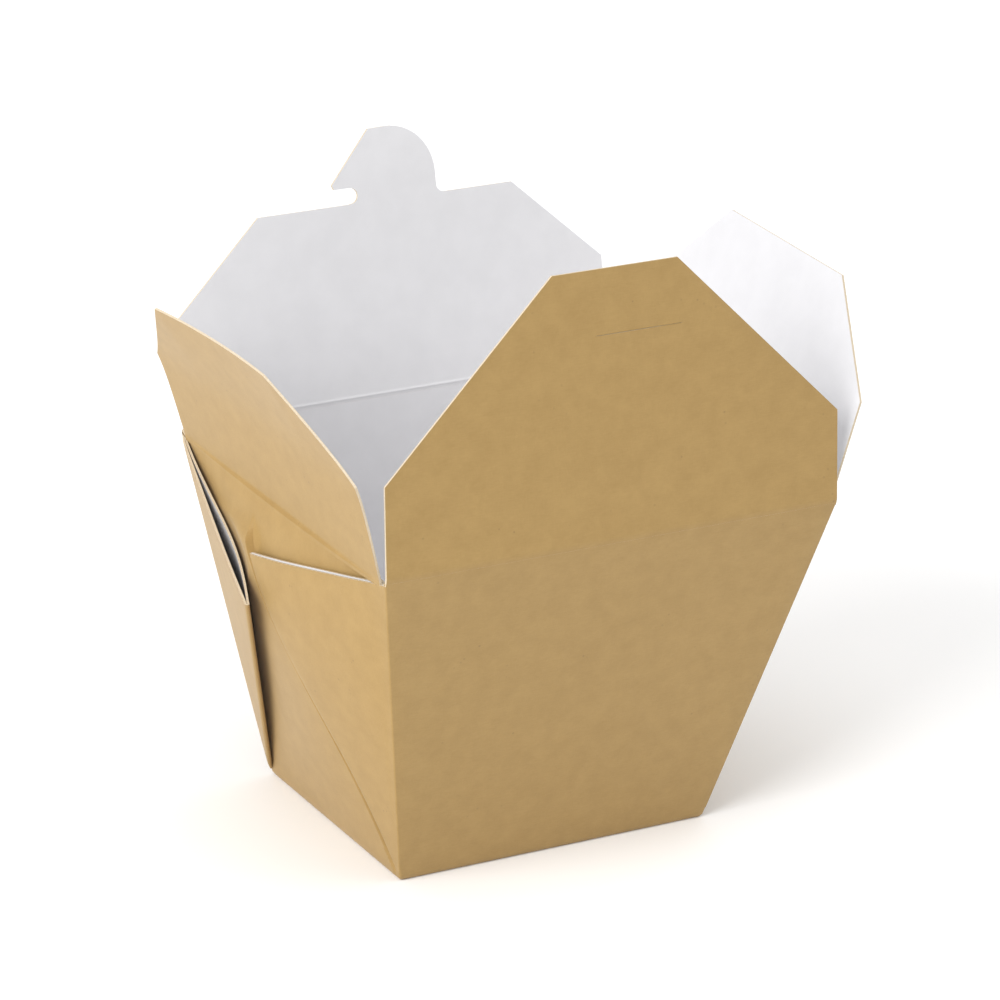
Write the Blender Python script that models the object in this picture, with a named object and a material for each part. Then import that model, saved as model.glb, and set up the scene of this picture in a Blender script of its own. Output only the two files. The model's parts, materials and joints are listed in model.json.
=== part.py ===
"""Open noodle takeaway box, folded from one sheet of paperboard.

The tub is a flared tray: a base and four walls that lean outwards. Where two walls meet, the spare board
between them is folded double into a triangular web that lies against the outside of the side wall. Four lid
flaps stand on the rim and each turns about its own crease. The back flap carries a hooked tab and the front
flap has the slit that takes it.

Frame: origin at the centre of the underside of the base, +Z up, the front wall towards -Y.
"""

import math

import bmesh
import bpy
import numpy as np

# Driving dimensions, in metres
BOARD = 0.0005
BASE_WIDTH = 0.073
BASE_DEPTH = 0.055
RIM_WIDTH = 0.106
RIM_DEPTH = 0.087
RIM_HEIGHT = 0.076
SIDE_CREASE_DROP = 0.0009
CREASE_HALF_GAP = 0.00045

# Side walls bow outwards between their corner folds, most of all two thirds of the way up
WALL_BOW = 0.0095
BOW_POWER = 4.5

# Corner webs: how far along the side wall and up it their folds reach, and how they stand off the wall
FRONT_WEB = dict(reach=0.0330, rise=0.0672)
BACK_WEB = dict(reach=0.0279, rise=0.0588)
WEB_START = 0.03
WEB_TAPER = 0.2
WEB_TOP = 0.975
WEB_COLUMNS = np.array([0.008, 0.12, 0.28, 0.44, 0.6, 0.76, 0.9, 1.0])
FRONT_WEB_LIFT = 0.0018
FRONT_WEB_STAND = 0.0006
BACK_WEB_LIFT = 0.0108
POCKET_DEPTH = 0.0025
POCKET_ALONG = (0.5, 1.02)
POCKET_OUT = (0.42, 0.9)

# Depths inside the wall between which each web starts at its corner fold
ROOT_OUTER = 0.2 * BOARD
ROOT_INNER = 0.8 * BOARD

# Lid flaps: half width at the crease and where the chamfer starts, its height, half width and height of the top
FRONT_FLAP = dict(crease=0.0527, straight=(0.0527, 0.0190), top=(0.0145, 0.0560))
BACK_FLAP = dict(crease=0.0515, straight=(0.0512, 0.0220), top=(0.0306, 0.0405))
SIDE_FLAP = dict(crease=0.0412, straight=(0.0400, 0.0210), top=(0.0210, 0.0420))

# Lean of each flap from upright as it stands open, outwards positive, in degrees
FRONT_LEAN = -7.7
BACK_LEAN = 16.3
LEFT_LEAN = 25.0
RIGHT_LEAN = 17.4

# Slit in the front flap
SLIT_LENGTH = 0.020
SLIT_WIDTH = 0.0006
SLIT_OFFSET = 0.0055
SLIT_HEIGHT = 0.0425

# Tab on the back flap, measured from the middle of its top edge as seen from inside the box
TAB_DOME_CENTRE = (0.0015, 0.0046)
TAB_DOME_RADIUS = 0.0108
TAB_SHOULDER = (-0.0029, 0.0153)
TAB_HOOK_TIP = (-0.0126, 0.0045)
TAB_HOOK_UNDERSIDE = 0.0035
TAB_NOTCH_CENTRE = (-0.0084, 0.0018)
TAB_NOTCH_RADIUS = 0.0017
TAB_ROOT_FILLET = 0.0018

KRAFT = (0.46, 0.30, 0.13, 1.0)
COATED_WHITE = (0.74, 0.73, 0.75, 1.0)


def clear_scene():
    """Remove every object that the file opened with."""
    for old in list(bpy.data.objects):
        bpy.data.objects.remove(old, do_unlink=True)


def make_material(name, colour, roughness):
    """Principled surface of one colour and roughness."""
    material = bpy.data.materials.new(name)
    material.use_nodes = True
    shader = material.node_tree.nodes["Principled BSDF"]
    shader.inputs["Base Color"].default_value = colour
    shader.inputs["Roughness"].default_value = roughness
    shader.inputs["Metallic"].default_value = 0.0
    material.diffuse_color = colour
    return material


def board_materials(name):
    """The two faces of one piece of board: kraft outside and coated white inside."""
    outside = make_material(name + "_kraft", KRAFT, 0.85)
    inside = make_material(name + "_white", COATED_WHITE, 0.45)
    return outside, inside


def add_object(name, mesh):
    """Link a new object that shows the mesh."""
    thing = bpy.data.objects.new(name, mesh)
    bpy.context.scene.collection.objects.link(thing)
    return thing


def side_bow(across, up):
    """How far the side wall stands out of its flat plane, 0 along the base, the rim and both corner folds."""
    return WALL_BOW * np.sin(math.pi * across) * up * (1 - up**BOW_POWER)


def side_point(across, up, stand):
    """Point on the left side wall: across is 0 at the front corner and 1 at the back one, up is 0 at the base
    and 1 at the rim, and stand is the distance outwards from the wall's flat plane."""
    across, up, stand = np.broadcast_arrays(across, up, stand)
    flare_x = (RIM_WIDTH - BASE_WIDTH) / 2
    flare_y = (RIM_DEPTH - BASE_DEPTH) / 2
    slant = math.hypot(flare_x, RIM_HEIGHT)
    half_depth = BASE_DEPTH / 2 + flare_y * up
    x = -(BASE_WIDTH / 2 + flare_x * up) - stand * RIM_HEIGHT / slant
    y = (2 * across - 1) * half_depth
    z = RIM_HEIGHT * up - stand * flare_x / slant
    return np.stack([x, y, z], axis=-1)


def add_grid(bm, points, cache):
    """Quads over a grid of points, sharing every vertex that lies where an earlier one does."""
    rows = []
    for line in points:
        row = []
        for point in line:
            key = tuple(np.round(np.asarray(point) * 1e7).astype(int))
            if key not in cache:
                cache[key] = bm.verts.new(point)
            row.append(cache[key])
        rows.append(row)
    for lower, upper in zip(rows, rows[1:]):
        for i in range(len(lower) - 1):
            bm.faces.new((lower[i], lower[i + 1], upper[i + 1], upper[i]))
    return rows


def tub_sheet():
    """Outer skin of the base and the four walls as one open sheet, for Solidify to thicken inwards."""
    across = np.array([0.0, 0.03, 0.12, 0.22, 0.34, 0.45, 0.55, 0.66, 0.78, 0.88, 0.97, 1.0])
    up = np.array([0.0, 0.12, 0.25, 0.38, 0.5, 0.62, 0.74, 0.86, 1.0])
    wall_top = 1.0 - CREASE_HALF_GAP / RIM_HEIGHT
    up_grid, across_grid = np.meshgrid(up * wall_top, across, indexing="ij")
    left = side_point(across_grid, up_grid, side_bow(across_grid, up_grid))
    left[-1, 1:-1, 0] += SIDE_CREASE_DROP * (RIM_WIDTH - BASE_WIDTH) / 2 / RIM_HEIGHT
    left[-1, 1:-1, 2] -= SIDE_CREASE_DROP
    right = left * np.array([-1.0, 1.0, 1.0])
    bm = bmesh.new()
    cache = {}
    add_grid(bm, left, cache)
    add_grid(bm, right[:, ::-1], cache)
    add_grid(bm, np.stack([right[:, 0], left[:, 0]], axis=1), cache)
    add_grid(bm, np.stack([left[:, -1], right[:, -1]], axis=1), cache)
    loop = list(left[0]) + list(right[0, ::-1])
    keys = [tuple(np.round(point * 1e7).astype(int)) for point in loop]
    bm.faces.new([cache[key] for key in keys])
    bmesh.ops.recalc_face_normals(bm, faces=bm.faces)
    mesh = bpy.data.meshes.new("tub")
    bm.to_mesh(mesh)
    bm.free()
    return mesh


def slab_mesh(name, outer, inner):
    """Closed body between two matching grids of points."""
    bm = bmesh.new()
    near = [[bm.verts.new(point) for point in line] for line in outer]
    far = [[bm.verts.new(point) for point in line] for line in inner]
    rows, columns = outer.shape[:2]
    for i in range(rows - 1):
        for j in range(columns - 1):
            bm.faces.new((near[i][j], near[i][j + 1], near[i + 1][j + 1], near[i + 1][j]))
            bm.faces.new((far[i][j], far[i + 1][j], far[i + 1][j + 1], far[i][j + 1]))
    for i in range(rows - 1):
        for j in (0, columns - 1):
            bm.faces.new((near[i][j], near[i + 1][j], far[i + 1][j], far[i][j]))
    for j in range(columns - 1):
        for i in (0, rows - 1):
            bm.faces.new((near[i][j], near[i][j + 1], far[i][j + 1], far[i][j]))
    bmesh.ops.recalc_face_normals(bm, faces=bm.faces)
    mesh = bpy.data.meshes.new(name)
    bm.to_mesh(mesh)
    bm.free()
    return mesh


def web_grid(along, out, stand, at_back):
    """Points of a web on the left wall. along runs up the corner fold from the base corner, out runs from the
    corner fold to the web's own fold edge, and stand is the distance from the wall's flat plane."""
    web = BACK_WEB if at_back else FRONT_WEB
    flare_x = (RIM_WIDTH - BASE_WIDTH) / 2
    flare_y = (RIM_DEPTH - BASE_DEPTH) / 2
    slant = math.hypot(flare_x, RIM_HEIGHT)
    corner_y = -(BASE_DEPTH / 2 + flare_y * along)
    fold_y = -BASE_DEPTH / 2 + web["reach"] * along
    y = corner_y + (fold_y - corner_y) * out
    up = along * (1 + (web["rise"] / slant - 1) * out)
    across = (y / (BASE_DEPTH / 2 + flare_y * up) + 1) / 2
    if at_back:
        across = 1 - across
    return across, up, side_point(across, up, stand)


def front_web():
    """Both faces of the front web on the left wall: two leaves pressed flat on each other, close to the wall."""
    along, out = np.meshgrid(np.linspace(WEB_START, WEB_TOP, 8), WEB_COLUMNS, indexing="ij")
    across, up, _ = web_grid(along, out, 0.0, False)
    bow = side_bow(across, up)
    taper = np.clip(out / WEB_COLUMNS[1], 0, 1) * np.minimum(along / WEB_TAPER, 1)
    face = bow + FRONT_WEB_STAND * taper + FRONT_WEB_LIFT * out * along
    root = out < WEB_COLUMNS[1] / 2
    outer = np.where(root, -ROOT_OUTER, face)
    inner = np.where(root, -ROOT_INNER, np.maximum(face - 2 * BOARD, bow - ROOT_INNER))
    return web_grid(along, out, outer, False)[2], web_grid(along, out, inner, False)[2]


def leaf_stands(along, out):
    """Where the middles of the back web's two leaves stand: the outer one is flat, and the inner one sags back
    from it and meets it along both folds."""
    outer = BACK_WEB_LIFT * out * along
    return outer, outer - POCKET_DEPTH * along * np.sin(math.pi * out**2)


def back_web():
    """Outer and inner face of the back web on the left wall, its pocket not yet opened."""
    along, out = np.meshgrid(np.linspace(WEB_START, WEB_TOP, 8), WEB_COLUMNS, indexing="ij")
    outer, inner = leaf_stands(along, out)
    root = out < WEB_COLUMNS[1] / 2
    outer = np.where(root, -ROOT_OUTER, outer + BOARD / 2)
    inner = np.where(root, -ROOT_INNER, inner - BOARD / 2)
    return web_grid(along, out, outer, True)[2], web_grid(along, out, inner, True)[2]


def back_pocket():
    """Space between the back web's leaves, reaching out past its top edge."""
    along, out = np.meshgrid(np.linspace(*POCKET_ALONG, 7), np.linspace(*POCKET_OUT, 7), indexing="ij")
    outer, inner = leaf_stands(along, out)
    return web_grid(along, out, outer - BOARD / 2, True)[2], web_grid(along, out, inner + BOARD / 2, True)[2]


def build_tub():
    """The folded tray with its four corner webs, joined into one body."""
    tub = add_object("tub", tub_sheet())
    outside, inside = board_materials("tub")
    tub.data.materials.append(outside)
    tub.data.materials.append(inside)
    thicken = tub.modifiers.new("board", "SOLIDIFY")
    thicken.thickness = BOARD
    thicken.offset = -1.0
    thicken.use_even_offset = True
    thicken.material_offset = 1
    webs = {
        "front_web": (front_web(), "UNION"),
        "back_web": (back_web(), "UNION"),
        "back_pocket": (back_pocket(), "DIFFERENCE"),
    }
    for side, sign in (("left", 1.0), ("right", -1.0)):
        flip = np.array([sign, 1.0, 1.0])
        for name, ((face, reverse), operation) in webs.items():
            body = add_object(name + "_" + side, slab_mesh(name, face * flip, reverse * flip))
            body.data.materials.append(outside)
            body.hide_render = True
            body.display_type = "WIRE"
            join = tub.modifiers.new(body.name, "BOOLEAN")
            join.operation = operation
            join.solver = "EXACT"
            join.object = body
    return tub


def arc(centre, radius, start, stop, steps):
    """Points along a circular arc, angles in degrees."""
    angles = np.radians(np.linspace(start, stop, steps))
    return [(centre[0] + radius * math.cos(a), centre[1] + radius * math.sin(a)) for a in angles]


def flap_outline(shape, crown):
    """Six-sided flap standing on its crease, with the points of crown set into its top edge."""
    straight_x, straight_z = shape["straight"]
    top_x, top_z = shape["top"]
    points = [(-shape["crease"], CREASE_HALF_GAP), (shape["crease"], CREASE_HALF_GAP)]
    points += [(straight_x, straight_z), (top_x, top_z)]
    points += [(x, z + top_z) for x, z in crown]
    points += [(-top_x, top_z), (-straight_x, straight_z)]
    return points


def tab_crown():
    """Hooked tab, from its right root round the dome to the hook and its notch, as seen from inside."""
    dome_right = TAB_DOME_CENTRE[0] + TAB_DOME_RADIUS
    fillet_centre = (dome_right + TAB_ROOT_FILLET, TAB_ROOT_FILLET)
    points = arc(fillet_centre, TAB_ROOT_FILLET, 270, 180, 5)
    points += arc(TAB_DOME_CENTRE, TAB_DOME_RADIUS, 0, 98, 12)
    points.append(TAB_SHOULDER)
    points.append(TAB_HOOK_TIP)
    points.append((TAB_HOOK_TIP[0] + 0.0004, TAB_HOOK_UNDERSIDE))
    points += arc(TAB_NOTCH_CENTRE, TAB_NOTCH_RADIUS, 90, -90, 8)
    points.append((TAB_NOTCH_CENTRE[0] - 0.0006, 0.0))
    return points


def plate_mesh(name, outline):
    """Flat board with the given outline in X and Z, its middle plane at Y = 0 and its outer face towards -Y."""
    bm = bmesh.new()
    ring = [bm.verts.new((x, -BOARD / 2, z)) for x, z in outline]
    face = bm.faces.new(ring)
    face.material_index = 0
    grown = bmesh.ops.extrude_face_region(bm, geom=[face])
    moved = [item for item in grown["geom"] if isinstance(item, bmesh.types.BMVert)]
    bmesh.ops.translate(bm, verts=moved, vec=(0, BOARD, 0))
    for item in grown["geom"]:
        if isinstance(item, bmesh.types.BMFace):
            item.material_index = 1
    bmesh.ops.recalc_face_normals(bm, faces=bm.faces)
    mesh = bpy.data.meshes.new(name)
    bm.to_mesh(mesh)
    bm.free()
    return mesh


def build_flap(name, outline, crease_middle, turn, lean):
    """Flap with its origin on the crease it turns about. turn faces it outwards, lean tips it outwards."""
    flap = add_object(name, plate_mesh(name, outline))
    for material in board_materials(name):
        flap.data.materials.append(material)
    flap.location = crease_middle
    flap.rotation_euler = (math.radians(lean), 0.0, math.radians(turn))
    return flap


def cut_slit(flap):
    """Slit through the front flap for the tab."""
    bm = bmesh.new()
    bmesh.ops.create_cube(bm, size=1.0)
    bmesh.ops.scale(bm, vec=(SLIT_LENGTH, 6 * BOARD, SLIT_WIDTH), verts=bm.verts)
    bmesh.ops.translate(bm, vec=(SLIT_OFFSET, 0, SLIT_HEIGHT), verts=bm.verts)
    mesh = bpy.data.meshes.new("slit_cutter")
    bm.to_mesh(mesh)
    bm.free()
    cutter = add_object("slit_cutter", mesh)
    cutter.parent = flap
    cutter.hide_render = True
    cutter.display_type = "WIRE"
    cut = flap.modifiers.new("slit", "BOOLEAN")
    cut.operation = "DIFFERENCE"
    cut.solver = "EXACT"
    cut.object = cutter


def build_flaps():
    """The four lid flaps, each at the lean it has on the open box, their creases at the middle of the board."""
    side_height = RIM_HEIGHT - SIDE_CREASE_DROP
    half_width = (RIM_WIDTH - BOARD) / 2
    half_depth = (RIM_DEPTH - BOARD) / 2
    front_at = (0.0, -half_depth, RIM_HEIGHT)
    back_at = (0.0, half_depth, RIM_HEIGHT)
    left_at = (-half_width, 0.0, side_height)
    right_at = (half_width, 0.0, side_height)
    front = build_flap("front_flap", flap_outline(FRONT_FLAP, []), front_at, 0, FRONT_LEAN)
    cut_slit(front)
    seen_from_inside = flap_outline(BACK_FLAP, tab_crown())
    back_outline = [(-x, z) for x, z in reversed(seen_from_inside)]
    build_flap("back_flap", back_outline, back_at, 180, BACK_LEAN)
    build_flap("left_flap", flap_outline(SIDE_FLAP, []), left_at, -90, LEFT_LEAN)
    build_flap("right_flap", flap_outline(SIDE_FLAP, []), right_at, 90, RIGHT_LEAN)


clear_scene()
build_tub()
build_flaps()
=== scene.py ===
# %% [markdown]
# Noodle takeaway box in kraft board
#
# The real object is one sheet of board, brown and fibrous outside, coated white inside, creased and
# folded into a flared tub with four lid flaps. Thin board is all surface, so every piece here is two
# grids of points worked out with numpy, a brown outside and a white inside half a millimetre apart,
# closed by a cut edge. The imported model underneath gives the bodies that move and the solid that the
# board follows.

# %% Load the frame
import json
import math

import bpy
import numpy as np
from mathutils import Matrix


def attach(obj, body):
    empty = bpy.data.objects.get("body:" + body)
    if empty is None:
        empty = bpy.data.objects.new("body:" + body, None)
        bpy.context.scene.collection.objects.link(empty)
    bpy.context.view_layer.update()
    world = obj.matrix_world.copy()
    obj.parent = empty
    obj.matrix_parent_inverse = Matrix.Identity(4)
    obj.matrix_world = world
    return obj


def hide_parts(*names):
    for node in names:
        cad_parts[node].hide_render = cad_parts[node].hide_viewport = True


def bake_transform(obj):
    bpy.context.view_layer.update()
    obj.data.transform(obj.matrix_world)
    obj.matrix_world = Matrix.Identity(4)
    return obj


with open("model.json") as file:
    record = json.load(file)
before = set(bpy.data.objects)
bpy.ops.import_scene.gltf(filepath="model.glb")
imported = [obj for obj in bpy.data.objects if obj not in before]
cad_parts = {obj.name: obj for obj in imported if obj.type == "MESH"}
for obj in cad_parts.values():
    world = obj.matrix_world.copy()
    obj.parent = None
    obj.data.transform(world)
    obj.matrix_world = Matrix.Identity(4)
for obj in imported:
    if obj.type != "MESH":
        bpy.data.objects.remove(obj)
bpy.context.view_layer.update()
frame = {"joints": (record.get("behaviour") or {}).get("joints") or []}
joints = {joint["child"]: joint for joint in frame["joints"]}

# %% [markdown]
# The camera comes first, because every later choice is judged through it. It could be placed by eye, but
# here its numbers come from a fit to the box's corners in the photograph. A long lens from a metre away
# keeps the box's edges nearly parallel. The photograph is turned a few degrees, so the camera has the
# same small roll.

# %% Camera
CAMERA_AZIMUTH = math.radians(-31.72)
CAMERA_ELEVATION = math.radians(22.81)
CAMERA_ROLL = math.radians(3.44)
CAMERA_DISTANCE = 1.143
CAMERA_TARGET_HEIGHT = 0.0675
CAMERA_SIDESTEP = -0.0009
FOCAL_IN_FRAMES = 5.548


def unit(vector):
    """The vector divided by its length."""
    vector = np.asarray(vector, float)
    return vector / np.linalg.norm(vector)


def camera_axes(azimuth, elevation):
    """Right, up and backward directions of a camera that looks at the object from azimuth and
    elevation."""
    backward = np.array([
        math.sin(azimuth) * math.cos(elevation),
        -math.cos(azimuth) * math.cos(elevation),
        math.sin(elevation),
    ])
    right = unit(np.cross(-backward, (0.0, 0.0, 1.0)))
    return right, np.cross(right, -backward), backward


def place_camera():
    """Camera on the photograph's line of sight, turned about it by the roll."""
    right, up, backward = camera_axes(CAMERA_AZIMUTH, CAMERA_ELEVATION)
    target = np.array([0.0, 0.0, CAMERA_TARGET_HEIGHT])
    place = backward * CAMERA_DISTANCE + right * CAMERA_SIDESTEP + target
    turned_right = math.cos(CAMERA_ROLL) * right + math.sin(CAMERA_ROLL) * up
    turned_up = math.cos(CAMERA_ROLL) * up - math.sin(CAMERA_ROLL) * right
    lens = bpy.data.cameras.new("camera")
    lens.sensor_width = 36.0
    lens.lens = 36.0 * FOCAL_IN_FRAMES
    lens.clip_start = 0.05
    camera = bpy.data.objects.new("camera", lens)
    columns = np.eye(4)
    columns[:3, 0] = turned_right
    columns[:3, 1] = turned_up
    columns[:3, 2] = backward
    columns[:3, 3] = place
    camera.matrix_world = Matrix(columns.tolist())
    bpy.context.scene.collection.objects.link(camera)
    bpy.context.scene.camera = camera
    return camera


camera = place_camera()
print("camera at", [round(value, 3) for value in camera.matrix_world.translation])

# %% [markdown]
# A finish is a small graph of nodes, so it needs no image and stays sharp at any distance. Adding and
# linking nodes takes several lines each time, and they hide what the finish is. One small class, with a
# call for each kind of node, keeps the recipes after it short.

# %% Node helpers
class Recipe:
    """A material's node tree, with one call for each node that the finishes below need."""

    def __init__(self, name):
        self.material = bpy.data.materials.new(name)
        self.material.use_nodes = True
        self.tree = self.material.node_tree
        self.shader = self.tree.nodes["Principled BSDF"]
        self.place = self.tree.nodes.new("ShaderNodeTexCoord").outputs["Object"]

    def join(self, source, target):
        """Link an output to an input."""
        self.tree.links.new(source, target)

    def stretched(self, scale):
        """Object coordinates stretched by a factor on each axis."""
        node = self.tree.nodes.new("ShaderNodeMapping")
        node.inputs["Scale"].default_value = scale
        self.join(self.place, node.inputs["Vector"])
        return node.outputs["Vector"]

    def noise(self, size, detail=3.0, vector=None, roughness=0.55):
        """Noise whose clouds are about size metres across."""
        node = self.tree.nodes.new("ShaderNodeTexNoise")
        node.inputs["Scale"].default_value = 1.0 / size
        node.inputs["Detail"].default_value = detail
        node.inputs["Roughness"].default_value = roughness
        self.join(vector or self.place, node.inputs["Vector"])
        return node.outputs["Fac"]

    def specks(self, size, share):
        """1 in small round specks size metres apart, 0 elsewhere. share is each speck's part of its
        cell."""
        node = self.tree.nodes.new("ShaderNodeTexVoronoi")
        node.inputs["Scale"].default_value = 1.0 / size
        self.join(self.place, node.inputs["Vector"])
        return self.remap(node.outputs["Distance"], share * 0.6, share, 1.0, 0.0)

    def remap(self, value, low, high, to_low, to_high):
        """Value taken from low..high to to_low..to_high and held there."""
        node = self.tree.nodes.new("ShaderNodeMapRange")
        names = ("From Min", "From Max", "To Min", "To Max")
        for name, number in zip(names, (low, high, to_low, to_high)):
            node.inputs[name].default_value = number
        self.join(value, node.inputs["Value"])
        return node.outputs["Result"]

    def math(self, operation, first, second):
        """One arithmetic step on two values, each an output or a number."""
        node = self.tree.nodes.new("ShaderNodeMath")
        node.operation = operation
        for slot, value in enumerate((first, second)):
            if isinstance(value, (int, float)):
                node.inputs[slot].default_value = value
            else:
                self.join(value, node.inputs[slot])
        return node.outputs["Value"]

    def blend(self, share, first, second):
        """Colour that goes from first to second as share goes from 0 to 1."""
        node = self.tree.nodes.new("ShaderNodeMix")
        node.data_type = "RGBA"
        self.join(share, node.inputs["Factor"])
        for socket, colour in ((node.inputs[6], first), (node.inputs[7], second)):
            if isinstance(colour, tuple):
                socket.default_value = colour + (1.0,)
            else:
                self.join(colour, socket)
        return node.outputs[2]

    def bump(self, height, distance, strength):
        """Relief from a height value, distance metres deep."""
        node = self.tree.nodes.new("ShaderNodeBump")
        node.inputs["Distance"].default_value = distance
        node.inputs["Strength"].default_value = strength
        self.join(height, node.inputs["Height"])
        self.join(node.outputs["Normal"], self.shader.inputs["Normal"])


print("node helpers ready")

# %% [markdown]
# Kraft board is pressed from long brown fibres. Close up it shows soft clouds a few millimetres wide,
# fine streaks along the fibres and a few dark specks of bark. A photograph of board would carry all that,
# but it would stretch on the leaning walls. Noises at those sizes, mixed into one brown, don't. They read
# Object coordinates, and each finished piece's object sits at the origin, so the clouds run on from wall
# to flap as they do in one sheet.

# %% Kraft outside
KRAFT_PALE = (0.388, 0.246, 0.080)
KRAFT_MIDDLE = (0.345, 0.214, 0.065)
KRAFT_DARK = (0.220, 0.135, 0.050)
CLOUD_SIZE = 0.0040
FIBRE_SIZE = 0.0002
LEVEL_STRETCH = (0.12, 0.6, 1.0)
UPRIGHT_STRETCH = (0.6, 1.0, 0.15)
SPECK_SPACING = 0.0019
SPECK_SHARE = 0.16
FIBRE_RELIEF = 0.00006


def kraft_finish():
    """Brown board: clouds 4 mm wide, fibre streaks 0.2 to 0.3 mm wide and up to 1.7 mm long in two
    directions, and dark specks where a wider noise is high."""
    kraft = Recipe("kraft_outside")
    clouds = kraft.noise(CLOUD_SIZE, detail=4.0)
    level = kraft.noise(FIBRE_SIZE, detail=2.0, vector=kraft.stretched(LEVEL_STRETCH))
    upright = kraft.noise(FIBRE_SIZE, detail=2.0, vector=kraft.stretched(UPRIGHT_STRETCH))
    streaks = kraft.math("ADD", kraft.math("MULTIPLY", level, 0.6), kraft.math("MULTIPLY", upright, 0.4))
    tone = kraft.math("ADD", kraft.math("MULTIPLY", clouds, 0.5), kraft.math("MULTIPLY", streaks, 0.5))
    brown = kraft.blend(kraft.remap(tone, 0.38, 0.62, 0.0, 1.0), KRAFT_MIDDLE, KRAFT_PALE)
    rare = kraft.remap(kraft.noise(0.006, detail=1.0), 0.60, 0.72, 0.0, 1.0)
    flecks = kraft.math("MULTIPLY", kraft.specks(SPECK_SPACING, SPECK_SHARE), rare)
    speckled = kraft.blend(kraft.math("MULTIPLY", flecks, 0.6), brown, KRAFT_DARK)
    kraft.join(speckled, kraft.shader.inputs["Base Color"])
    kraft.shader.inputs["Roughness"].default_value = 0.62
    kraft.shader.inputs["Specular IOR Level"].default_value = 0.5
    kraft.shader.inputs["Sheen Weight"].default_value = 0.18
    kraft.shader.inputs["Sheen Roughness"].default_value = 0.45
    kraft.bump(streaks, FIBRE_RELIEF, 0.5)
    return kraft.material


kraft_outside = kraft_finish()
print("made", kraft_outside.name)

# %% [markdown]
# The inside carries a thin film of white plastic over the board, so it is smoother than the outside and
# has a soft sheen, with the board's clouds only just showing through. A cut edge shows the board's pale
# core between the two faces, a little rough. Plain white and plain tan would do from afar, but up close
# they look painted.

# %% White inside and cut edge
COATING_WHITE = (0.728, 0.722, 0.735)
COATING_GREY = (0.706, 0.700, 0.713)
COATING_CLOUDS = 0.0060
PEEL_SIZE = 0.0004
PEEL_RELIEF = 0.00002
CORE_PALE = (0.640, 0.550, 0.415)
CORE_BROWN = (0.510, 0.405, 0.270)
CORE_FIBRES = 0.0002
CORE_RELIEF = 0.00005


def coated_finish():
    """White film over board: faint clouds 6 mm wide, a satin sheen and an orange-peel relief 0.4 mm
    wide."""
    coated = Recipe("coated_inside")
    clouds = coated.noise(COATING_CLOUDS, detail=3.0)
    peel = coated.noise(PEEL_SIZE, detail=2.0)
    colour = coated.blend(coated.remap(clouds, 0.35, 0.65, 0.0, 1.0), COATING_GREY, COATING_WHITE)
    coated.join(colour, coated.shader.inputs["Base Color"])
    coated.join(coated.remap(clouds, 0.3, 0.7, 0.38, 0.48), coated.shader.inputs["Roughness"])
    coated.shader.inputs["Specular IOR Level"].default_value = 0.35
    coated.bump(peel, PEEL_RELIEF, 0.4)
    return coated.material


def edge_finish():
    """Cut edge: pale core mottled with brown fibres 0.2 mm wide."""
    edge = Recipe("cut_edge")
    fibres = edge.noise(CORE_FIBRES, detail=3.0)
    colour = edge.blend(edge.remap(fibres, 0.4, 0.7, 0.0, 1.0), CORE_PALE, CORE_BROWN)
    edge.join(colour, edge.shader.inputs["Base Color"])
    edge.shader.inputs["Roughness"].default_value = 0.9
    edge.shader.inputs["Specular IOR Level"].default_value = 0.2
    edge.bump(fibres, CORE_RELIEF, 0.5)
    return edge.material


coated_inside = coated_finish()
cut_edge = edge_finish()
print("made", coated_inside.name, cut_edge.name)

# %% [markdown]
# Every piece of board here comes to the same thing: a grid of points for its brown outside, another for
# its white inside, and a narrow cut edge round the two. The helper below closes such a pair. It finds the
# cut edge by itself, as the edges that belong to one face only, so a slit through the board gets one too.
# Solidify could add the thickness instead, but it can't press a crease line into one side.

# %% From two sets of points to board
BOARD = 0.0005
SHARP_FROM = math.radians(35)


def grid_faces(rows, columns, closed=False):
    """Quads of a grid as rows of four indices. closed joins the last column to the first."""
    steps = columns if closed else columns - 1
    row, column = np.meshgrid(np.arange(rows - 1), np.arange(steps), indexing="ij")
    after = (column + 1) % columns
    corners = [row * columns + column, row * columns + after]
    corners += [(row + 1) * columns + after, (row + 1) * columns + column]
    return np.stack(corners, axis=-1).reshape(-1, 4)


def board_shell(name, outside, inside, faces):
    """Closed piece of board. outside and inside are matching points, and the faces run counter-clockwise
    as seen from outside. An edge used by one face only becomes part of the cut edge."""
    outside = np.asarray(outside, float).reshape(-1, 3)
    inside = np.asarray(inside, float).reshape(-1, 3)
    count = len(outside)
    edges = np.concatenate([faces[:, [i, (i + 1) % 4]] for i in range(4)])
    edges = edges[edges[:, 0] != edges[:, 1]]
    used = np.unique(np.sort(edges, axis=1), axis=0, return_inverse=True, return_counts=True)
    rim = edges[used[2][used[1].reshape(-1)] == 1]
    rim_faces = np.stack([rim[:, 1], rim[:, 0], rim[:, 0] + count, rim[:, 1] + count], axis=1)
    polygons = np.concatenate([faces, faces[:, ::-1] + count, rim_faces])
    finishes = np.repeat([0, 1, 2], [len(faces), len(faces), len(rim_faces)])
    mesh = bpy.data.meshes.new(name)
    mesh.from_pydata(np.concatenate([outside, inside]).tolist(), [], polygons.tolist())
    for finish in (kraft_outside, coated_inside, cut_edge):
        mesh.materials.append(finish)
    mesh.polygons.foreach_set("material_index", finishes.astype(np.int32))
    mesh.shade_smooth()
    mesh.set_sharp_from_angle(angle=SHARP_FROM)
    mesh.update()
    piece = bpy.data.objects.new(name, mesh)
    bpy.context.scene.collection.objects.link(piece)
    print(name, len(polygons), "faces,", len(rim), "of them along the cut edge")
    return piece


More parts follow.
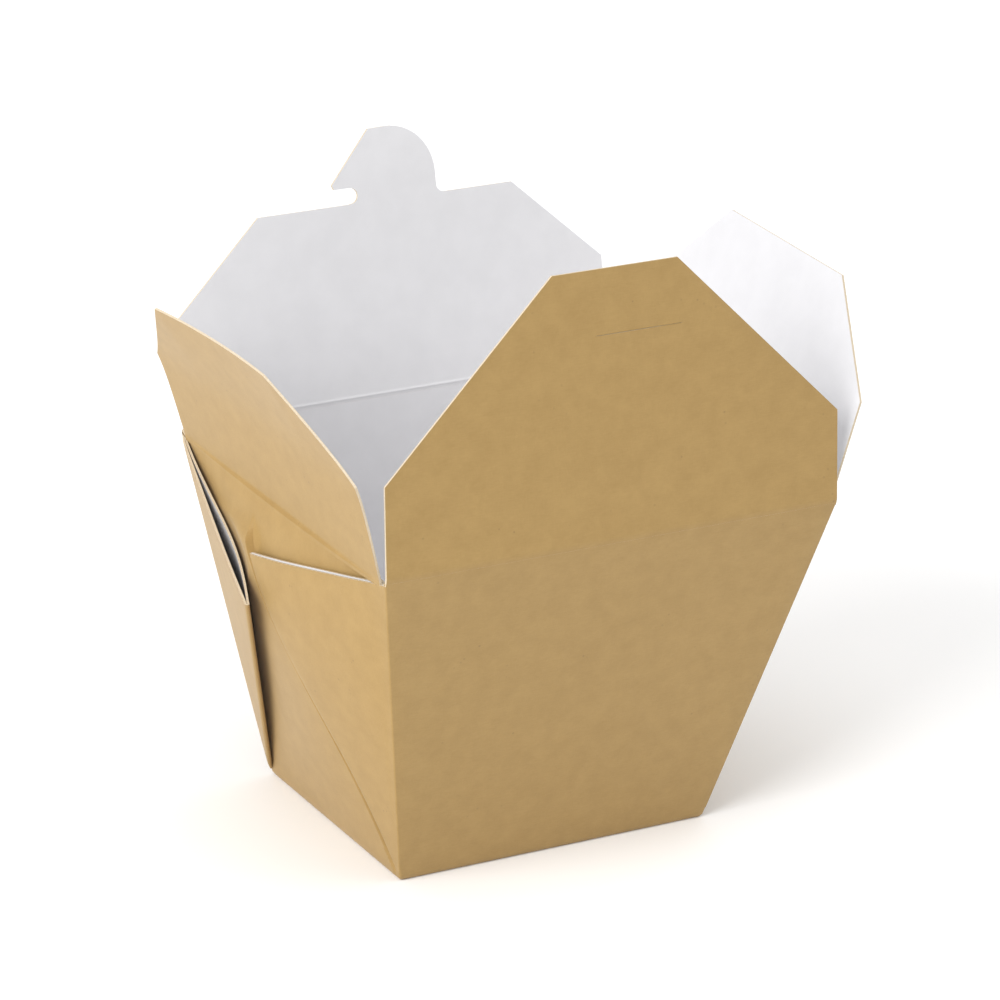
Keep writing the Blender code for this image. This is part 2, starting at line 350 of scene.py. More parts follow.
def grid_normals(points, closed=False):
    """Unit normals of a grid: the cross product of its steps along a row and its steps up a column."""
    padded = np.concatenate([points[:, -1:], points, points[:, :1]], axis=1) if closed else points
    across = np.gradient(padded, axis=1)
    upward = np.gradient(padded, axis=0)
    normals = np.cross(across, upward)
    normals /= np.maximum(np.linalg.norm(normals, axis=-1, keepdims=True), 1e-12)
    return normals[:, 1:-1] if closed else normals


print("board is", BOARD, "m thick")

# %% [markdown]
# The tub flares from a small base to a larger rim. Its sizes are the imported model's, so the board lies
# where the solid does. Each side wall bows outwards between its corner folds, because only the board's
# own stiffness holds it flat. A cloth simulation could find such a bow, but one product of three simple
# curves gives the bow that the photograph shows, the same on every run.

# %% Sizes of the tub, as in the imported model
BASE_WIDTH = 0.073
BASE_DEPTH = 0.055
RIM_WIDTH = 0.106
RIM_DEPTH = 0.087
RIM_HEIGHT = 0.076
SIDE_RIM_HEIGHT = joints["left_flap"]["pos_m"][2]
WALL_BOW = 0.0095
BOW_POWER = 4.5
CREASE_REACH = 0.0008
CORNER_RADIUS = 0.0006
BASE_RADIUS = 0.0007
FLARE_X = (RIM_WIDTH - BASE_WIDTH) / 2
FLARE_Y = (RIM_DEPTH - BASE_DEPTH) / 2
SIDE_SLANT = math.hypot(FLARE_X, RIM_HEIGHT)
print("rim at", joints["front_flap"]["pos_m"][2], "side rim at", SIDE_RIM_HEIGHT)


def side_bow(across, up):
    """Bow of a side wall: a half sine across it, times up, times 1 less up to the power 4.5."""
    up = np.clip(up, 0, 1)
    return WALL_BOW * np.sin(math.pi * across) * up * (1 - up**BOW_POWER)


def smoothstep(value):
    """0 below 0, 1 above 1, and three squares less two cubes between."""
    value = np.clip(value, 0, 1)
    return value * value * (3 - 2 * value)


def side_point(across, up, stand):
    """Point on the left wall's plane at across (0 front, 1 back) and up (0 base, 1 rim), moved stand
    metres out along the wall's normal."""
    across, up, stand = np.broadcast_arrays(across, up, stand)
    half_depth = BASE_DEPTH / 2 + FLARE_Y * up
    x = -(BASE_WIDTH / 2 + FLARE_X * up) - stand * RIM_HEIGHT / SIDE_SLANT
    y = (2 * across - 1) * half_depth
    z = RIM_HEIGHT * up - stand * FLARE_X / SIDE_SLANT
    return np.stack([x, y, z], axis=-1)


# %% [markdown]
# Where two walls meet, the spare board between them is pinched double and folded round onto the side
# wall. It makes a triangle that hangs from the corner fold, a web, with its own fold along the free side.
# The front web lies close to the wall and presses it in a little. The back one has sprung open, and white
# shows between its two leaves. The webs could be laid on a finished wall, but they would either float or
# cut in. So how far the leaves stand is settled here, before the tub, and the tub's wall gives way to
# them.

# %% How the corner webs stand
WEB_TOP = 0.984
FRONT_WEB = (0.0330, 0.0672)
LEAF_GAP = 2.05 * BOARD
GAP_REACH = 0.003
FRONT_WEB_STAND = 0.0006
FRONT_WEB_LIFT = 0.0018
BACK_WEB = (0.0279, 0.0588)
BACK_WEB_LIFT = 0.0108
POCKET = 0.0019
FRONT_POCKET = 0.0003
FLUSH_DROP = 0.00003
FOLD_VALLEY = 0.0009
WALL_CLEARANCE = 0.00008
TOP_CLEARANCE = 0.0005
TOP_ZONE = (0.9, 0.1)
TIP_FADE = (1.08, 0.08)
FLUSH_REACH = 0.030
RIM_FADE = 0.16
BASE_FADE = 0.05
INSIDE_DEPTH = 0.0012
INSIDE_ROUNDING = 0.0001
INSIDE_CORNER_FADE = 0.0025
INSIDE_RIM_FADE = 0.12


def leaf_gap(along, out, size):
    """Distance between a web's two brown faces: nothing at the corner fold, two boards from 3 mm out."""
    return LEAF_GAP * smoothstep(out * (size[0] + FLARE_Y) * along / GAP_REACH)


def front_leaves(along, out, bow):
    """Stand of the front web's two brown faces. The outer is flush at the corner fold and lifts towards
    the tip, as out times the cube of along. The inner is two boards behind it, and a little more along
    the top edge, which gapes by a half sine of out."""
    proud = FRONT_WEB_STAND * smoothstep(out / 0.35) * smoothstep((along - 0.3) / 0.6)
    outer = bow + proud + FRONT_WEB_LIFT * out * np.minimum(along, 1) ** 3
    gape = FRONT_POCKET * np.sin(math.pi * np.clip(out, 0, 1)) ** 0.7 * np.minimum(along, 1) ** 8
    return outer, outer - leaf_gap(along, out, FRONT_WEB) - gape


def back_leaves(along, out, bow):
    """Stand of the back web's two brown faces. Both lift evenly from the corner fold, and the inner sags
    back by a half sine of out squared, which opens the pocket. The outer stays outside the wall's bow."""
    middle = BACK_WEB_LIFT * out * along
    gap = leaf_gap(along, out, BACK_WEB)
    inner = middle - POCKET * along * np.sin(math.pi * out**2) - gap / 2
    return np.maximum(middle + gap / 2, bow * smoothstep(out / 0.1)), inner


def web_place(across, up, size):
    """Along and out on a web for a place on the side wall. Swept is along times out. Place and height are
    both straight lines in along and swept, so the two rules solve in one step."""
    reach, rise = size
    share = rise / SIDE_SLANT - 1
    y = (2 * across - 1) * (BASE_DEPTH / 2 + FLARE_Y * up)
    swept = (y + BASE_DEPTH / 2 + FLARE_Y * up) / (reach + FLARE_Y * (1 + share))
    along = np.maximum(up - share * swept, 1e-6)
    return along, np.clip(swept / along, 0, 9)


def wall_stand(across, up):
    """Stand of the side wall: its bow, and next to the front web's fold as far out as the web's outer
    leaf, so that the fold lies flush. Behind each web it is pressed back against the inner leaf."""
    bow = side_bow(across, up)
    along, out = web_place(across, up, FRONT_WEB)
    past = (out - 1) * (FRONT_WEB[0] + FLARE_Y) * along
    level = front_leaves(along, np.ones_like(out), bow)[0] - FLUSH_DROP
    beside = smoothstep(past / FOLD_VALLEY) * smoothstep(1 - past / FLUSH_REACH)
    beside = beside * smoothstep((TIP_FADE[0] - along) / TIP_FADE[1])
    stand = bow + np.maximum(level - bow, 0) * beside * smoothstep((1 - up) / RIM_FADE)
    for leaves, size, place in ((front_leaves, FRONT_WEB, across), (back_leaves, BACK_WEB, 1 - across)):
        along, out = web_place(place, up, size)
        at_top = smoothstep((along - TOP_ZONE[0]) / TOP_ZONE[1])
        clearance = WALL_CLEARANCE + TOP_CLEARANCE * at_top * smoothstep(out / 0.2)
        inner = leaves(along, np.minimum(out, 1), bow)[1] - clearance
        past = (out - 1) * (size[0] + FLARE_Y) * along
        pressed = (1 - smoothstep(past / FOLD_VALLEY)) * smoothstep(up / BASE_FADE)
        pressed = pressed * smoothstep((TIP_FADE[0] - along) / TIP_FADE[1])
        stand = stand - np.maximum(stand - inner, 0) * pressed
    return stand


def inside_stand(across, up):
    """Stand of the wall's white inside, before the board's thickness is taken off. It keeps evenly behind
    the bow, so that the presses and steps of the outside don't show in it, and comes out again at the
    corners, the base and the rim. Where the outside is deeper still it follows that: the soft minimum of
    two values is half their sum, less the root of the square of half their difference plus a small
    rounding squared."""
    bow = side_bow(across, up)
    from_corner = (1 - np.abs(2 * across - 1)) * (BASE_DEPTH / 2 + FLARE_Y * up)
    depth = INSIDE_DEPTH * smoothstep(from_corner / INSIDE_CORNER_FADE) * smoothstep(up / BASE_FADE)
    even = bow - depth * smoothstep((1 - up) / INSIDE_RIM_FADE)
    stand = wall_stand(across, up)
    return (even + stand) / 2 - np.sqrt(((even - stand) / 2) ** 2 + INSIDE_ROUNDING**2)


print("web tips reach", FRONT_WEB, BACK_WEB)

# %% [markdown]
# The base and the four walls are one folded sheet, so they are one piece here: rings that follow a
# rounded rectangle, from the middle of the underside, round the fold at the base and up the walls. Five
# flat panels would be quicker, but their seams would show at the corners, and rings carry the bow, the
# round folds and the steps beside the webs in one grid. The white inside gets smoother rings of its own.

# %% The tub's rings
BEFORE_STEPS = 36
BEYOND_STEPS = 64
FRONT_STEPS = 31
CORNER_STEPS = 6
WALL_ROWS = 100
LOWEST_FOLD = 0.85
PAST_FOLD = np.array([0.0002, 0.0004, 0.0006, 0.0008, 0.0010, 0.0012, 0.0015, 0.0020])
DROP_START = 0.0006
DROP_REACH = 0.0010
UNDERSIDE_SCALES = (0.02, 0.35, 0.7, 0.93)
BASE_FOLD_ANGLES = (0, 22, 45, 68)
FIRST_WALL_RING = 0.0095


def side_columns(up):
    """Places across a side wall from 0 to 1. One column follows the front web's fold and more crowd just
    past it, because the wall steps up there, and a step that ran across the columns would come out as a
    saw."""
    half_depth = BASE_DEPTH / 2 + FLARE_Y * up
    fold = FRONT_WEB[0] * up * SIDE_SLANT / FRONT_WEB[1] - BASE_DEPTH / 2
    fold = max(fold, -half_depth * LOWEST_FOLD)
    before = np.linspace(-half_depth, fold, BEFORE_STEPS)
    beyond = np.linspace(fold + PAST_FOLD[-1], half_depth, BEYOND_STEPS + 1)[1:]
    return (np.concatenate([before, fold + PAST_FOLD, beyond]) / half_depth + 1) / 2


def tub_ring(up, scale, shrink, height, stand):
    """One ring: a rounded rectangle of the tub's size at up, times scale, less shrink all round, with the
    side walls standing out as stand says and their heights a little lower, because their creases are.
    stand is measured square to the wall, so a level ring moves by that times the wall's slant over its
    height. It runs front, right, back, left, counter-clockwise seen from above."""
    share = side_columns(up)
    front_share = np.linspace(0, 1, FRONT_STEPS)
    quarter = np.radians(np.linspace(0, 90, CORNER_STEPS))[1:-1]
    half_x = (BASE_WIDTH / 2 + FLARE_X * up) * scale - shrink
    half_y = (BASE_DEPTH / 2 + FLARE_Y * up) * scale - shrink
    radius = CORNER_RADIUS * scale
    side_y = (2 * share - 1) * (half_y - radius)
    inset = smoothstep((half_y - np.abs(side_y) - DROP_START) / DROP_REACH)
    lower = (RIM_HEIGHT - SIDE_RIM_HEIGHT) * up * inset
    out = stand(share, up - lower / RIM_HEIGHT) * SIDE_SLANT / RIM_HEIGHT
    side_x = half_x - lower * FLARE_X / RIM_HEIGHT + out
    front = np.stack([(2 * front_share - 1) * (half_x - radius), np.full(FRONT_STEPS, -half_y)], axis=-1)
    right = np.stack([side_x, side_y], axis=-1)
    turn = radius * np.stack([np.sin(quarter), -np.cos(quarter)], axis=-1)
    first = np.array([half_x - radius, radius - half_y]) + turn
    second = np.array([half_x - radius, half_y - radius]) + turn[:, ::-1] * np.array([-1.0, 1.0])
    left = (right * np.array([-1.0, 1.0]))[::-1]
    flat = np.concatenate([front, first, right, second, -front, -first, left, -second])
    level = np.zeros(len(front) + len(first))
    turned = np.zeros(len(second))
    heights = height - np.concatenate([level, lower, turned, level, lower[::-1], turned])
    return np.column_stack([flat, heights])


def tub_points(stand):
    """Rings from the middle of the underside, round the base fold on a quarter circle, then up the walls.
    stand gives how far the side walls stand out."""
    rings = [(0.0, scale, 0.0, 0.0) for scale in UNDERSIDE_SCALES]
    for angle in np.radians(BASE_FOLD_ANGLES):
        rings.append((0.0, 1.0, BASE_RADIUS * (1 - math.sin(angle)), BASE_RADIUS * (1 - math.cos(angle))))
    top = 1.0 - CREASE_REACH / RIM_HEIGHT
    rings += [(up, 1.0, 0.0, RIM_HEIGHT * up) for up in np.linspace(FIRST_WALL_RING, top, WALL_ROWS)]
    return np.stack([tub_ring(*ring, stand) for ring in rings])


def make_tub():
    """Tub board: rings for the outside, and smoother rings moved in by the board's thickness for the
    inside. The hole in the middle of each is closed by bringing its first ring to one point."""
    outside = tub_points(wall_stand)
    inside = tub_points(inside_stand)
    inside -= grid_normals(inside, closed=True) * BOARD
    outside[0] = (0.0, 0.0, 0.0)
    inside[0] = (0.0, 0.0, BOARD)
    rows, columns = outside.shape[:2]
    return board_shell("tub_board", outside, inside, grid_faces(rows, columns, closed=True))


tub = make_tub()
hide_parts("tub")
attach(tub, "tub")

# %% [markdown]
# Each web is one sheet: its profile comes round the corner, runs along the outer leaf, round the fold and
# back along the inner leaf, and is carried up the corner fold. Two flat triangles would be simpler, but
# their fold would be a knife edge, and a real one is as round as the board is thick and catches a line of
# light.

# %% Corner webs
WEB_START = 0.03
WEB_ROWS = 50
LEAF_STEPS = 34
LEAF_CROWDING = 1.3
FOLD_STEPS = 9
WRAP_STEPS = 6
WRAP_RADIUS = 0.00035
WRAP_REACH = 0.0014
FOLD_ROOM = (0.3, 0.2)
WEB_FULLNESS = 0.95
THINNEST = 0.02


def web_plane(along, out, size):
    """Across and up on the side wall for a place on a web: along runs up the corner fold from the base
    corner, and out from the corner fold to the web's own fold. size is how far the fold reaches and
    rises."""
    corner_y = -(BASE_DEPTH / 2 + FLARE_Y * along)
    fold_y = -BASE_DEPTH / 2 + size[0] * along
    y = corner_y + (fold_y - corner_y) * out
    up = along * (1 + (size[1] / SIDE_SLANT - 1) * out)
    return (y / (BASE_DEPTH / 2 + FLARE_Y * up) + 1) / 2, up


def wrap_profile():
    """How the outer leaf comes round the corner from the wall next door: two points under that wall's
    face, then a quarter circle. Gives each point's distance from the corner, and its depth behind the
    side wall."""
    turn = np.radians(np.linspace(0, 90, WRAP_STEPS))
    distance = np.concatenate([[0.0, 0.0], WRAP_RADIUS * (1 - np.cos(turn))])
    depth = np.concatenate([[WRAP_REACH, WRAP_REACH / 2], WRAP_RADIUS * (1 - np.sin(turn))])
    return distance, depth


def make_web(name, leaves, size, at_back, sign):
    """One web of board. Its profile is the turn round the corner, the outer leaf, the fold's half circle
    and the inner leaf back to the corner. The fold's radius is half the distance between the leaves, and
    the board is a little thinner than that, so the white faces don't meet. sign is 1 on the left wall and
    -1 on the right."""
    along = np.linspace(WEB_START, WEB_TOP, WEB_ROWS)[:, None]
    width = (size[0] + FLARE_Y) * along
    distance, depth = wrap_profile()
    leaf = np.linspace(0, 1, LEAF_STEPS)[1:] ** LEAF_CROWDING
    half_turn = np.radians(np.linspace(90, -90, FOLD_STEPS + 2))[1:-1]
    start = WRAP_RADIUS / width
    onward = start + (1 - start) * leaf
    at_fold = np.ones((len(along), FOLD_STEPS))
    out = np.concatenate([distance / width, onward, at_fold, onward[:, ::-1]], axis=1)
    lead = np.ones(len(distance) + len(leaf))
    swing = np.concatenate([lead, np.sin(half_turn), -np.ones(len(leaf))])
    bulge = np.concatenate([0 * lead, np.cos(half_turn), np.zeros(len(leaf))])
    behind = np.concatenate([depth, np.zeros(out.shape[1] - len(depth))])
    along = np.broadcast_to(along, out.shape)
    across, up = web_plane(along, out, size)
    outer, inner = leaves(along, out, side_bow(across, up))
    radius = np.maximum(outer - inner, 0.0) / 2
    room = np.minimum(radius / width, FOLD_ROOM[0]) * smoothstep(out / FOLD_ROOM[1])
    across, up = web_plane(along, out - room * (1 - bulge), size)
    across = 1 - across if at_back else across
    face = side_point(across, up, (outer + inner) / 2 + radius * swing - behind)
    face[..., 0] *= sign
    thickness = np.clip(WEB_FULLNESS * radius, THINNEST * BOARD, WEB_FULLNESS * BOARD)
    if (sign > 0) != at_back:
        face, thickness = face[:, ::-1], thickness[:, ::-1]
    faces = grid_faces(*face.shape[:2])
    web = board_shell(name, face, face - grid_normals(face) * thickness[..., None], faces)
    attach(web, "tub")
    return web


webs = [
    make_web(f"{place}_web_{side}", leaves, size, place == "back", sign)
    for place, leaves, size in (("front", front_leaves, FRONT_WEB), ("back", back_leaves, BACK_WEB))
    for side, sign in (("left", 1.0), ("right", -1.0))
]
print("webs", [web.name for web in webs])

# %% [markdown]
# Each lid flap is drawn flat first, as a die cuts it: x along its crease and v up from it. Then it is
# folded. Near the crease the board turns from the wall's slope to the flap's on a short smooth curve,
# with a shallow groove outside and a fine bead inside, which is what a creasing rule leaves. A hinge line
# between two plates would be simpler, but it would open when the flap turns. Here the strip below the
# crease laps into the wall's own thickness, and no gap shows at any angle.

# %% Folding a flat pattern
CREASE_HALF = 0.0006
CREASE_STEP = 0.0001
PRESSED_HALF = 0.00030
LAP = 0.0005
TUCK = 0.00004
CREASE_NARROWER = 0.0014
FRONT_LEAN = -7.7
BACK_LEAN = 16.3
LEFT_LEAN = 25.0
RIGHT_LEAN = 17.4


def crease_rows():
    """Heights across a crease: one low in the lap, then every 0.1 mm past the curve."""
    below = [-CREASE_REACH - LAP, -CREASE_REACH - 0.00003]
    return np.concatenate([below, np.arange(-7, 9) * CREASE_STEP])


def lid_lines(child, outward, wall_lean, lean):
    """What folding needs: the crease's middle, its direction, and the slopes and outward normals of the
    wall below it and the flap above it. A slope is outward times the lean's sine plus upward times its
    cosine."""
    outward = np.array(outward)
    upward = np.array([0.0, 0.0, 1.0])
    slopes = [outward * math.sin(angle) + upward * math.cos(angle) for angle in (wall_lean, lean)]
    normals = [outward * math.cos(angle) - upward * math.sin(angle) for angle in (wall_lean, lean)]
    return np.array(joints[child]["pos_m"]), np.cross(upward, outward), slopes, normals


def fold(flat, lines, bead, groove, bow, curl):
    """Brown and white points of a flat pattern. Within CREASE_HALF of the crease the path is a parabola
    that leaves the wall's slope and joins the flap's. bow follows the side wall below the crease, curl
    bends the flap above it. The crease's groove and bead are bell curves across it."""
    middle, along, (wall_slope, flap_slope), (wall_normal, flap_normal) = lines
    x, v = flat[:, 0], flat[:, 1]
    turn = np.clip((v + CREASE_HALF) / (2 * CREASE_HALF), 0, 1)
    below = np.where(v < -CREASE_HALF, -v, CREASE_HALF * (1 - turn) ** 2)
    above = np.where(v > CREASE_HALF, v, CREASE_HALF * turn**2)
    normal = wall_normal + (flap_normal - wall_normal) * smoothstep(turn)[:, None]
    normal /= np.linalg.norm(normal, axis=1, keepdims=True)
    path = middle + np.outer(x, along) - np.outer(below, wall_slope) + np.outer(above, flap_slope)
    path += normal * (bow(x, v) + curl(x, v))[:, None]
    pressed = np.exp(-((v / PRESSED_HALF) ** 2))
    tucked = TUCK * (v < -CREASE_REACH)
    brown = path + normal * (BOARD / 2 - groove * pressed - tucked)[:, None]
    white = path - normal * (BOARD / 2 + bead * pressed - tucked)[:, None]
    return brown, white


def no_bend(x, v):
    """No bend at all."""
    return 0.0 * x


def side_wall_bow(x, v):
    """The side wall's bow where the strip below the crease follows it, fading out over the crease."""
    up = (SIDE_RIM_HEIGHT + np.minimum(v, 0) * RIM_HEIGHT / SIDE_SLANT) / RIM_HEIGHT
    across = x / (RIM_DEPTH - CREASE_NARROWER) + 0.5
    return side_bow(across, up) * smoothstep(-v / CREASE_REACH + 0.15)


print("crease rows", len(crease_rows()))

# %% [markdown]
# All three patterns are straight at the crease and then narrow to the top, with one corner on each side
# between. An outline traced point by point would also do, but three corners say what the die's edge is.
# The rows crowd at the crease, where the board bends, and are even above it.

# %% Flat patterns
FRONT_FLAP = ((0.0, 0.0527), (0.0190, 0.0527), (0.0560, 0.0145))
BACK_FLAP = ((0.0, 0.0515), (0.0220, 0.0512), (0.0405, 0.0306))
SIDE_FLAP = ((0.0, 0.0412), (0.0210, 0.0400), (0.0420, 0.0210))


def half_width(v, corners):
    """Half width of a flap at height v, straight between its corners, which are (height, half width)."""
    heights, widths = zip(*corners)
    return np.interp(v, heights, widths)


def flap_rows(corners, extra=()):
    """Heights of a flap's rows: the crease rows, then evenly through each of its two parts and at each
    extra."""
    straight, top = corners[1][0], corners[2][0]
    rows = [crease_rows(), np.linspace(0.0016, straight, 12), np.linspace(straight, top, 16)]
    return np.unique(np.round(np.concatenate(rows + [np.asarray(extra, float)]), 6))


def flap_columns(extra=()):
    """Places across a flap from -1 to 1, with more of them where extra asks."""
    return np.unique(np.round(np.concatenate([np.linspace(-1, 1, 41), np.asarray(extra, float)]), 6))


def flat_flap(corners, rows, columns):
    """Grid of (x, v): each row is as wide as the flap is there."""
    v, share = np.meshgrid(rows, columns, indexing="ij")
    return np.stack([share * half_width(v, corners), v], axis=-1)


print("front flap", flap_rows(FRONT_FLAP).size, "rows")

# %% [markdown]
# The two side flaps are one cut, but they don't stand alike. The right one is straight. The left one has
# been bent back and has kept a curl, which is worked out as a bend of the pattern. Bending a finished
# flap with a modifier would move its crease too.

# %% Side flaps
def make_lid(child, flat, faces, lines, bead=0.00010, groove=0.00004, bow=no_bend, curl=no_bend):
    """Fold a flat pattern into a lid flap, bent at its crease from the wall's slope to the flap's."""
    brown, white = fold(flat.reshape(-1, 2), lines, bead, groove, bow, curl)
    lid = board_shell(child + "_board", brown, white, faces)
    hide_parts(child)
    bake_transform(lid)
    return lid


FLAP_SINK = 0.0062
KNEE_SPREAD = 0.16
FLAP_TWIST = 0.050
TOP_SAG = 0.0008


def left_curl(x, v):
    """The left flap bends back halfway up: it sinks by 2 mm at half its height, along the two straight
    arms of a hyperbola with its bend spread over a third of them, twists outwards towards its back corner
    and sags a little along its top edge."""
    rise = np.clip(v / SIDE_FLAP[2][0], 0, 1)
    knee = 0.5 - np.sqrt((rise - 0.5) ** 2 + KNEE_SPREAD**2) + math.sqrt(0.25 + KNEE_SPREAD**2) - 0.5
    twist = -FLAP_TWIST * x * rise
    sag = -TOP_SAG * rise**2 * (1 - np.clip(np.abs(x) / SIDE_FLAP[2][1], 0, 1) ** 2)
    return twist + sag - FLAP_SINK * knee


side_flat = flat_flap(SIDE_FLAP, flap_rows(SIDE_FLAP), flap_columns())
side_faces = grid_faces(*side_flat.shape[:2])
side_lean = math.atan2(FLARE_X, RIM_HEIGHT)
left_lines = lid_lines("left_flap", (-1.0, 0.0, 0.0), side_lean, math.radians(LEFT_LEAN))
right_lines = lid_lines("right_flap", (1.0, 0.0, 0.0), side_lean, math.radians(RIGHT_LEAN))
left_bends = {"groove": 0.0, "bow": side_wall_bow, "curl": left_curl}
left_lid = make_lid("left_flap", side_flat, side_faces, left_lines, **left_bends)
right_lid = make_lid("right_flap", side_flat, side_faces, right_lines, bow=side_wall_bow)
print("side flaps", left_lid.name, right_lid.name)

# %% [markdown]
# The front flap is the large shield with the slit that takes the tab. A die cuts a slit without taking
# board away, so it is almost shut: a dark hairline, with one lip or the other standing a tenth of a
# millimetre proud and showing its pale edge. A dark line in the finish would look much the same, but the
# tab needs a real way through. So two rows of the grid run along the slit a hair apart, and the faces
# between them are left out.

# %% Front flap
SLIT_LENGTH = 0.020
SLIT_OFFSET = 0.0055
SLIT_HEIGHT = 0.0425
SLIT_HALF_GAP = 0.00004
SLIT_STEPS = 21
SLIT_CLEAR = 0.0017
LIP_FADE = 0.0012
LOWER_LIP = 0.00009
UPPER_LIP = 0.00016


def slit_lips(x, v):
    """Both lips of the slit stand out a little, the lower one to the left and the upper one near the
    right end, each fading within 2 mm of the cut on a bell curve."""
    place = np.clip((x - SLIT_OFFSET) / SLIT_LENGTH + 0.5, 0, 1)
    fade = np.exp(-(((v - SLIT_HEIGHT) / LIP_FADE) ** 2)) * np.sin(math.pi * place) ** 0.5
    lower = LOWER_LIP * (v < SLIT_HEIGHT) * smoothstep((0.85 - place) / 0.2)
    upper = UPPER_LIP * (v > SLIT_HEIGHT) * smoothstep((place - 0.75) / 0.15)
    return fade * (lower + upper)


def make_front_lid():
    """Front flap: its grid has two rows along the slit, and loses the faces between them over its
    length."""
    slit_x = SLIT_OFFSET + SLIT_LENGTH * (np.linspace(0, 1, SLIT_STEPS) - 0.5)
    shares = slit_x / half_width(SLIT_HEIGHT, FRONT_FLAP)
    steps = np.array([SLIT_HALF_GAP, 0.0003, 0.0008, 0.0016])
    gaps = SLIT_HEIGHT + np.concatenate([-steps[::-1], steps])
    rows = flap_rows(FRONT_FLAP, gaps)
    wanted = np.abs(rows[:, None] - gaps).min(axis=1) < 1e-6
    rows = rows[(np.abs(rows - SLIT_HEIGHT) > SLIT_CLEAR) | wanted]
    columns = flap_columns(shares)
    flat = flat_flap(FRONT_FLAP, rows, columns)
    faces = grid_faces(*flat.shape[:2])
    centres = flat.reshape(-1, 2)[faces].mean(axis=1)
    at_cut = np.abs(centres[:, 1] - SLIT_HEIGHT) < SLIT_HALF_GAP
    in_slit = at_cut & (np.abs(centres[:, 0] - SLIT_OFFSET) < SLIT_LENGTH / 2)
    wall_lean = math.atan2(FLARE_Y, RIM_HEIGHT)
    lines = lid_lines("front_flap", (0.0, -1.0, 0.0), wall_lean, math.radians(FRONT_LEAN))
    print("slit opened through", int(in_slit.sum()), "faces")
    return make_lid("front_flap", flat, faces[~in_slit], lines, groove=0.0, curl=slit_lips)


front_lid = make_front_lid()
print("front flap", front_lid.name)

# %% [markdown]
# The back flap carries the tab: a round dome with a hook on one side, whose notch catches the end of the
# slit. The tab has an overhang, so a width for each height can't give it, and a curve filled by Blender
# would leave long thin triangles. It is a ruled surface instead, straight lines from its left outline to
# its right one. Its lowest line uses the same points as the flap's top edge, so the two become one sheet.

# %% Back flap with its tab
TAB_DOME_CENTRE = (0.0015, 0.0046)
TAB_DOME_RADIUS = 0.0108
TAB_SHOULDER = (-0.0029, 0.0153)
TAB_HOOK_TIP = (-0.0126, 0.0045)
TAB_HOOK_UNDERSIDE = 0.0035
TAB_NOTCH_CENTRE = (-0.0084, 0.0018)
TAB_NOTCH_RADIUS = 0.0017
TAB_ROOT_FILLET = 0.0018
TAB_COLUMNS = 15


def arc(centre, radius, start, stop, steps):
    """Points along a circle's arc, angles in degrees."""
    angles = np.radians(np.linspace(start, stop, steps))
    return np.array(centre) + radius * np.stack([np.cos(angles), np.sin(angles)], axis=-1)


def tab_outlines():
    """Left and right outline of the tab from its root up, seen from inside the box, with as many points
    each."""
    underside = (TAB_HOOK_TIP[0] + 0.0004, TAB_HOOK_UNDERSIDE)
    steps = np.linspace(0, 1, 8)[:, None]
    slope = (1 - steps) * np.array(TAB_HOOK_TIP) + steps * np.array(TAB_SHOULDER)
    notch = arc(TAB_NOTCH_CENTRE, TAB_NOTCH_RADIUS, -90, 90, 9)
    left = np.concatenate([[(TAB_NOTCH_CENTRE[0] - 0.0006, 0.0)], notch, [underside], slope])
    dome_right = TAB_DOME_CENTRE[0] + TAB_DOME_RADIUS
    fillet = arc((dome_right + TAB_ROOT_FILLET, TAB_ROOT_FILLET), TAB_ROOT_FILLET, 270, 180, 6)
    dome = arc(TAB_DOME_CENTRE, TAB_DOME_RADIUS, 0, 92, len(left) - len(fillet))
    return left, np.concatenate([fillet, dome])


def make_back_lid():
    """Back flap and tab as one sheet: two grids whose shared points are merged by rounding their
    places."""
    left, right = tab_outlines()
    share = np.linspace(0, 1, TAB_COLUMNS)[None, :, None]
    tab = left[:, None] * (1 - share) + right[:, None] * share
    tab = (tab * np.array([-1.0, 1.0]))[:, ::-1] + np.array([0.0, BACK_FLAP[2][0]])
    columns = flap_columns(tab[0, :, 0] / BACK_FLAP[2][1])
    flap = flat_flap(BACK_FLAP, flap_rows(BACK_FLAP), columns)
    points = np.round(np.concatenate([flap.reshape(-1, 2), tab.reshape(-1, 2)]), 6)
    faces = np.concatenate([grid_faces(*flap.shape[:2]), grid_faces(*tab.shape[:2]) + flap[..., 0].size])
    flat, first = np.unique(points, axis=0, return_inverse=True)
    wall_lean = math.atan2(FLARE_Y, RIM_HEIGHT)
    lines = lid_lines("back_flap", (0.0, 1.0, 0.0), wall_lean, math.radians(BACK_LEAN))
    print("tab and flap share", len(points) - len(flat), "points")
    return make_lid("back_flap", flat, first.reshape(-1)[faces], lines)


back_lid = make_back_lid()
print("back flap", back_lid.name)

# %% [markdown]
# A pale floor and a bright, even room give the photograph's white ground. The front of the box is in soft
# shade and its left side is brighter, so one wide lamp stands to the left. Another hangs almost straight
# above. It whitens the floor and reaches down into the box, but hardly touches the outside of walls that
# lean outwards. The room's own light does the rest. A single sun would be simpler, but its shadows are
# too hard for this.

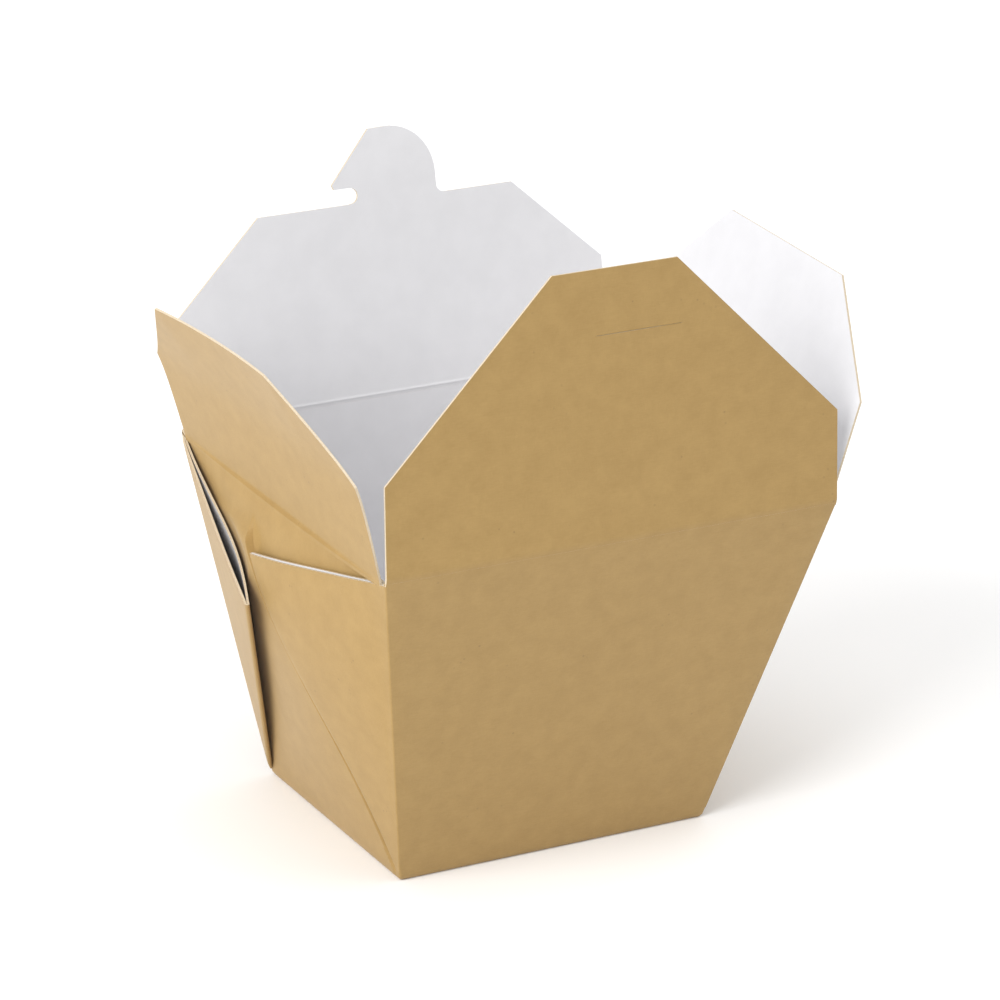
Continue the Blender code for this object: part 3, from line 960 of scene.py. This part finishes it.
# %% Floor and light
ROOM_LIGHT = 0.60
KEY_POWER = 24.5
KEY_SIZE = 1.1
KEY_PLACE = (-1.36, -0.42, 0.98)
TOP_POWER = 13.0
TOP_SIZE = 1.6
TOP_PLACE = (0.25, -0.05, 1.6)
FLOOR_REACH = 6.0
FLOOR_PAINT = (0.97, 0.97, 0.97, 1.0)


def make_floor():
    """A wide pale floor under the box."""
    mesh = bpy.data.meshes.new("floor")
    corners = FLOOR_REACH * np.array([[-1, -1, 0], [1, -1, 0], [1, 1, 0], [-1, 1, 0]])
    mesh.from_pydata(corners.tolist(), [], [(0, 1, 2, 3)])
    floor = bpy.data.objects.new("floor", mesh)
    bpy.context.scene.collection.objects.link(floor)
    paint = bpy.data.materials.new("pale_floor")
    paint.use_nodes = True
    shader = paint.node_tree.nodes["Principled BSDF"]
    shader.inputs["Base Color"].default_value = FLOOR_PAINT
    shader.inputs["Roughness"].default_value = 0.9
    shader.inputs["Specular IOR Level"].default_value = 0.1
    mesh.materials.append(paint)
    return floor


def make_lamp(name, place, aim, size, power):
    """Square lamp at place that shines towards aim."""
    lamp = bpy.data.lights.new(name, "AREA")
    lamp.size = size
    lamp.energy = power
    holder = bpy.data.objects.new(name, lamp)
    backward = unit(np.array(place) - np.array(aim))
    right = unit(np.cross((0.0, 0.0, 1.0), backward))
    columns = np.eye(4)
    columns[:3, :] = np.column_stack([right, np.cross(backward, right), backward, place])
    holder.matrix_world = Matrix(columns.tolist())
    bpy.context.scene.collection.objects.link(holder)
    return holder


def light_room(strength):
    """Even white light from all round."""
    world = bpy.data.worlds.new("room")
    world.use_nodes = True
    background = world.node_tree.nodes["Background"]
    background.inputs["Color"].default_value = (1.0, 1.0, 1.0, 1.0)
    background.inputs["Strength"].default_value = strength
    bpy.context.scene.world = world


make_floor()
light_room(ROOM_LIGHT)
key = make_lamp("key", KEY_PLACE, (0.0, 0.0, 0.06), KEY_SIZE, KEY_POWER)
top_lamp = make_lamp("top", TOP_PLACE, (0.05, 0.0, 0.06), TOP_SIZE, TOP_POWER)
view = bpy.context.scene.view_settings
view.view_transform = "Standard"
view.look = "None"
print("lit by", key.name, top_lamp.name, "and the room at", ROOM_LIGHT)
